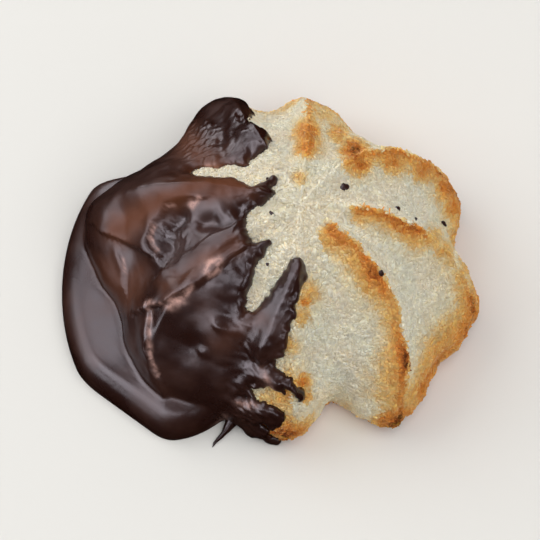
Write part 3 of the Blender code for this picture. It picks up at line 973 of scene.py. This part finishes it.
def dipped_sheet():
    """The dipped part of the skin as a sheet: x is the column, y the run and z the depth inside the edge.

    The sheet is cut where the depth is nothing, so its border is the edge of the chocolate.
    """
    columns, runs = np.meshgrid(spaced(COAT_COLUMNS, *COAT_RIDGES), row_runs(COAT_ROWS)[1:-1])
    x, y, z = skin(columns, runs)
    depths = edge_depth(x, y, z, runs)
    rows, width = columns.shape
    index = np.arange(rows * width).reshape(rows, width)
    quads = np.stack([index[:-1, :-1], index[1:, :-1], index[1:, 1:], index[:-1, 1:]], axis=-1).reshape(-1, 4)
    points = np.stack([columns, runs, depths], axis=-1).reshape(-1, 3)
    kept = (depths.ravel()[quads] > -1.0).any(axis=1)
    flat = bpy.data.meshes.new("sheet")
    flat.from_pydata(points.tolist(), [], quads[kept].tolist())
    sheet = bmesh.new()
    sheet.from_mesh(flat)
    bpy.data.meshes.remove(flat)
    for level in (0.0, *LIP_RINGS):
        everything = sheet.verts[:] + sheet.edges[:] + sheet.faces[:]
        bmesh.ops.bisect_plane(
            sheet,
            geom=everything,
            dist=CUT_SNAP,
            plane_co=(0, 0, level),
            plane_no=(0, 0, 1),
            clear_inner=level == 0.0,
        )
    bmesh.ops.delete(sheet, geom=[vertex for vertex in sheet.verts if not vertex.link_faces], context="VERTS")
    bmesh.ops.triangulate(sheet, faces=sheet.faces)
    return sheet


def coat_mesh():
    """An outer and an inner layer over the sheet, joined along the sheet's border."""
    sheet = dipped_sheet()
    column, run, depth = np.array([vertex.co for vertex in sheet.verts]).T
    outside = coat_outside(column, run, depth)
    # The rubbed scuffs, which along the sharp crests also stand for a painted highlight.
    scuffed = along_lines(*outside, SCUFFS_AND_EDGE_HIGHLIGHTS, 0.35)
    thin = along_lines(*outside, THIN_PLACES, 0.8)
    outside = placed(*outside)
    inside = placed(*skin(column, run, offset=-COAT_SINK))
    on_border = np.array([vertex.is_boundary for vertex in sheet.verts])
    sheet.verts.index_update()
    corners = np.array([[vertex.index for vertex in face.verts] for face in sheet.faces])
    sheet.free()
    corners = corners[~on_border[corners].all(axis=1)]
    count = len(column)
    outer_of = np.where(on_border, np.arange(count), np.arange(count) + count)
    faces = np.concatenate([outer_of[corners], corners[:, ::-1]])
    used, faces = np.unique(faces, return_inverse=True)
    points = np.concatenate([inside, outside])[used]
    mesh = bpy.data.meshes.new("chocolate_dip")
    mesh.from_pydata(points.tolist(), [], faces.reshape(-1, 3).tolist())
    for name, values in (("scuffed", scuffed), ("thinness", thin)):
        attribute = mesh.attributes.new(name, "FLOAT", "POINT")
        attribute.data.foreach_set("value", np.concatenate([values, values])[used])
    return mesh


# Dark chocolate: set slowly against air, so it is satin and not mirror bright, with paler rubbed folds, whose
# pinkish tone along the sharp crests is also a painted highlight. Its gloss is cloudy, and its grit is
# coarser than real cocoa, which would be too fine to show.
CLOUD_SIZE = 6.0
GRIT_SIZE = 0.9
CHOCOLATE = "#27110B"
CHOCOLATE_WARM = "#5B3421"
CHOCOLATE_SCUFF_AND_HIGHLIGHT = "#C2968A"
CHOCOLATE_SHEEN = "#E8E6F2"


def chocolate_material():
    """The chocolate's finish: a dark brown body, a cool broken sheen, and pale scuffs on the folds.

    The pale pinkish scuffs are partly a painted highlight along the sharp crests.
    """
    material = bpy.data.materials.new("set dark chocolate")
    material.use_nodes = True
    tree = material.node_tree
    shader = tree.nodes["Principled BSDF"]
    place = add(tree, "ShaderNodeTexCoord").outputs["Object"]
    clouds = {"Vector": place, "Scale": 1 / (CLOUD_SIZE * TO_METRES), "Detail": 3.0}
    cloud = add(tree, "ShaderNodeTexNoise", clouds).outputs["Fac"]
    grains = {"Vector": place, "Scale": 1 / (GRIT_SIZE * TO_METRES), "Detail": 3.0}
    grit = add(tree, "ShaderNodeTexNoise", grains).outputs["Fac"]
    thin = add(tree, "ShaderNodeAttribute", attribute_name="thinness").outputs["Fac"]
    warm = add(tree, "ShaderNodeMapRange", {0: cloud, 1: 0.42, 2: 0.70, 4: 0.22}).outputs[0]
    warm = add(tree, "ShaderNodeMath", {0: warm, 1: thin}, operation="ADD", use_clamp=True).outputs[0]
    body = add(
        tree, "ShaderNodeMix", {0: warm, 6: linear(CHOCOLATE), 7: linear(CHOCOLATE_WARM)}, data_type="RGBA"
    ).outputs[2]
    # Pale pinkish rubbed wear, and along the sharp crests a painted highlight.
    scuffed = add(tree, "ShaderNodeAttribute", attribute_name="scuffed").outputs["Fac"]
    flecked = add(tree, "ShaderNodeMapRange", {0: grit, 1: 0.34, 2: 0.60, 3: 0.25}).outputs[0]
    scuff_and_highlight_mask = add(tree, "ShaderNodeMath", {0: scuffed, 1: flecked}, operation="MULTIPLY").outputs[0]
    colour = add(
        tree, "ShaderNodeMix", {0: scuff_and_highlight_mask, 6: body, 7: linear(CHOCOLATE_SCUFF_AND_HIGHLIGHT)}, data_type="RGBA"
    ).outputs[2]
    tree.links.new(colour, shader.inputs["Base Color"])
    gloss = add(tree, "ShaderNodeMapRange", {0: cloud, 1: 0.3, 2: 0.7, 3: 0.24, 4: 0.37}).outputs[0]
    gloss = add(tree, "ShaderNodeMath", {0: thin, 1: 0.14, 2: gloss}, operation="MULTIPLY_ADD").outputs[0]
    rough = add(tree, "ShaderNodeMath", {0: scuff_and_highlight_mask, 1: 0.25, 2: gloss}, operation="MULTIPLY_ADD").outputs[0]
    tree.links.new(rough, shader.inputs["Roughness"])
    shine = add(tree, "ShaderNodeMapRange", {0: thin, 3: 0.5, 4: 0.1}).outputs[0]
    tree.links.new(shine, shader.inputs["Specular IOR Level"])
    bump = add(tree, "ShaderNodeBump", {"Strength": 0.25, "Distance": 0.00008, "Height": grit}).outputs[0]
    tree.links.new(bump, shader.inputs["Normal"])
    shader.inputs["IOR"].default_value = 1.55
    shader.inputs["Specular Tint"].default_value = linear(CHOCOLATE_SHEEN)
    return material


coat_finish = chocolate_material()
finished("chocolate_dip", coat_mesh(), coat_finish, "chocolate_coat")


# The specks and the drip
# Bits of chocolate that spattered on the bare coconut and set there, and the pointed tail of a drip that ran
# off the near side of the dip and dried on the table.

# Each speck: where it lies on the view plane, its radius, and how many times longer than wide it is.
SPECKS = (
    (8.3, 13.3, 0.62, 1.1),
    (15.9, 10.2, 0.42, 1.0),
    (18.4, 8.8, 0.30, 1.2),
    (22.8, 8.2, 0.42, 1.3),
    (13.4, 1.2, 0.36, 1.3),
    (-1.9, 9.4, 0.26, 3.0),
    (-2.5, 14.4, 0.24, 1.6),
    (-2.6, 2.4, 0.20, 1.5),
)
SPECK_FLATNESS = 0.6
SPECK_LIFT = 0.12

# The drip, from its root to its point: its middle from the mound's axis, a height, and half its width. It is
# widest at a share of that height, and rises by another share from there.
DRIP_WIDEST = 0.3
DRIP_RISE = 1.3
DRIP = (
    (-7.0, -20.4, 1.6, 1.60),
    (-7.8, -22.3, 1.1, 1.00),
    (-8.7, -23.6, 0.6, 0.55),
    (-9.6, -24.6, 0.45, 0.40),
    (-10.2, -25.2, 0.3, 0.24),
    (-10.5, -25.8, 0.1, 0.05),
)
DRIP_SIDES = 12


def speck_mesh():
    """Small uneven drops, flattened onto the skin of the mound where each of them fell."""
    specks = bmesh.new()
    look = Vector((0.0, math.cos(LOOK_DOWN), -math.sin(LOOK_DOWN)))
    rise = Vector((0.0, math.sin(LOOK_DOWN), math.cos(LOOK_DOWN)))
    for across, up, radius, length in SPECKS:
        eye = Vector(axis_at) + TO_METRES * (across * Vector((1.0, 0.0, 0.0)) + up * rise - 200.0 * look)
        _, place, outward, _ = mound.ray_cast(eye, look)
        turn = outward.to_track_quat("Z", "Y")
        drop = bmesh.ops.create_icosphere(specks, subdivisions=3, radius=radius)["verts"]
        for vertex in drop:
            uneven = 1.0 + 0.35 * noise.noise(vertex.co / radius + Vector((across, up, 0.0)))
            shape = Vector((vertex.co.x, vertex.co.y * length, vertex.co.z * SPECK_FLATNESS)) * uneven
            vertex.co = place + TO_METRES * (turn @ shape + SPECK_LIFT * outward)
    mesh = bpy.data.meshes.new("chocolate_specks")
    specks.to_mesh(mesh)
    specks.free()
    return mesh


def drip_mesh():
    """A tapering tail with a flat underside, swept through a few widths and closed at both ends."""
    drip = bmesh.new()
    rings = []
    for x, y, height, width in DRIP:
        rings.append([])
        for side in range(DRIP_SIDES):
            turn = 2.0 * math.pi * side / DRIP_SIDES
            rise = max(0.0, height * (DRIP_WIDEST + DRIP_RISE * math.sin(turn)))
            point = Vector((x + width * math.cos(turn), y, rise))
            rings[-1].append(drip.verts.new(Vector(axis_at) + TO_METRES * point))
    for first, second in zip(rings, rings[1:]):
        for i in range(DRIP_SIDES):
            j = (i + 1) % DRIP_SIDES
            drip.faces.new((first[i], second[i], second[j], first[j]))
    drip.faces.new(reversed(rings[0]))
    drip.faces.new(rings[-1])
    bmesh.ops.subdivide_edges(drip, edges=drip.edges, cuts=1, smooth=1.0, use_grid_fill=True)
    bmesh.ops.recalc_face_normals(drip, faces=drip.faces)
    mesh = bpy.data.meshes.new("chocolate_drip")
    drip.to_mesh(mesh)
    drip.free()
    return mesh


# The specks are dropped on the mound, so it is brought up to date first.
bpy.context.view_layer.update()
finished("chocolate_specks", speck_mesh(), coat_finish)
finished("chocolate_drip", drip_mesh(), coat_finish)


# The table and the light
# A plain pale board to stand on, an even light from a window at the left and from the ceiling, and panels
# whose gleam the chocolate's gloss shows. The board and the room are kept out of the gloss.

TABLE_SIZE = 4.0
TABLE_GREY = "#D8D7D4"
TABLE_GRAIN = 2.0


def table_sheet(name):
    """A square level board of matt paint, which gives a plain pale ground without a gleam."""
    half = TABLE_SIZE / 2
    mesh = bpy.data.meshes.new(name)
    corners = [(-half, -half, 0), (half, -half, 0), (half, half, 0), (-half, half, 0)]
    mesh.from_pydata(corners, [], [(0, 1, 2, 3)])
    material = bpy.data.materials.new("matt painted board")
    material.use_nodes = True
    tree = material.node_tree
    place = add(tree, "ShaderNodeTexCoord").outputs["Object"]
    grains = {"Vector": place, "Scale": 1 / (TABLE_GRAIN * TO_METRES), "Detail": 2.0}
    grain = add(tree, "ShaderNodeTexNoise", grains).outputs["Fac"]
    bump = add(tree, "ShaderNodeBump", {"Strength": 0.05, "Distance": 0.0001, "Height": grain}).outputs[0]
    shader = tree.nodes["Principled BSDF"]
    tree.links.new(bump, shader.inputs["Normal"])
    paint = (("Base Color", linear(TABLE_GREY)), ("Roughness", 0.9), ("Specular IOR Level", 0.1))
    for socket, value in paint:
        shader.inputs[socket].default_value = value
    mesh.materials.append(material)
    sheet = bpy.data.objects.new(name, mesh)
    bpy.context.scene.collection.objects.link(sheet)
    return sheet


table = table_sheet("pale_table")
table.visible_glossy = False

GLEAM_WHITE = (1.0, 0.98, 0.98)
DAYLIGHT_WHITE = (1.0, 0.985, 0.96)
ROOM_BRIGHTNESS = 0.52
LIT_PLACE = (0.0, 0.0, 0.01)


def soft_light(name, size, power, colour, place):
    """A flat light at a place in metres, turned to shine on the macaroon."""
    lamp = bpy.data.lights.new(name, "AREA")
    lamp.shape = "RECTANGLE"
    lamp.size, lamp.size_y = size
    lamp.energy = power
    lamp.color = colour
    thing = bpy.data.objects.new(name, lamp)
    thing.location = place
    thing.rotation_euler = (Vector(LIT_PLACE) - Vector(place)).to_track_quat("-Z", "Y").to_euler()
    bpy.context.scene.collection.objects.link(thing)
    return thing


# The panels that show only in the gloss: each one's name, size, power and place.
for name, size, power, place in (
    ("left_window_gleam", (0.38, 0.52), 2.2, (-0.52, 0.03, 0.28)),
    ("back_window_gleam", (0.36, 0.36), 1.2, (-0.30, 0.38, 0.38)),
    ("low_back_gleam", (0.42, 0.16), 1.1, (-0.36, 0.48, 0.10)),
    ("overhead_gleam", (0.26, 0.26), 1.05, (-0.19, 0.12, 0.56)),
    ("left_front_gleam", (0.34, 0.30), 1.9, (-0.41, -0.26, 0.38)),
    ("low_front_gleam", (0.32, 0.14), 0.60, (-0.50, -0.24, 0.11)),
    ("front_left_gleam", (0.20, 0.20), 0.5, (-0.13, -0.37, 0.45)),
    ("front_gleam", (0.16, 0.16), 0.4, (0.23, -0.34, 0.29)),
):
    gleam = soft_light(name, size, power, GLEAM_WHITE, place)
    gleam.visible_diffuse = False

# The lights that give the brightness and don't show in the gloss.
for name, size, power, place in (
    ("window_light", (0.60, 0.60), 2.4, (-0.42, 0.22, 0.36)),
    ("ceiling_light", (0.80, 0.80), 4.3, (0.28, -0.20, 0.80)),
):
    fill = soft_light(name, size, power, DAYLIGHT_WHITE, place)
    fill.visible_glossy = False

world = bpy.data.worlds.new("room")
bpy.context.scene.world = world
world.use_nodes = True
world.node_tree.nodes["Background"].inputs["Color"].default_value = linear("#FFFFFF")
world.node_tree.nodes["Background"].inputs["Strength"].default_value = ROOM_BRIGHTNESS
world.cycles_visibility.glossy = False
bpy.context.scene.view_settings.view_transform = "Standard"


# The camera
# It looks down on the macaroon at the photograph's angle, from far enough away for a nearly parallel view.

# Its distance, how much of the frame the macaroon's length fills, its sensor's width in millimetres, and
# where it looks, in millimetres from the foot of the mound's axis.
CAMERA_DISTANCE = 0.62
FRAME_FILL = 0.78
SENSOR = 36.0
AIM_FROM_AXIS = (-2.24, -1.93, 9.0)

camera_data = bpy.data.cameras.new("camera")
camera_data.sensor_width = SENSOR
camera_data.lens = SENSOR * CAMERA_DISTANCE * FRAME_FILL / (cad_high[0] - cad_low[0])
camera = bpy.data.objects.new("camera", camera_data)
aim = Vector(axis_at) + TO_METRES * Vector(AIM_FROM_AXIS)
camera.location = aim + CAMERA_DISTANCE * Vector((0.0, -math.cos(LOOK_DOWN), math.sin(LOOK_DOWN)))
camera.rotation_euler = (math.pi / 2 - LOOK_DOWN, 0.0, 0.0)
bpy.context.scene.collection.objects.link(camera)
bpy.context.scene.camera = camera
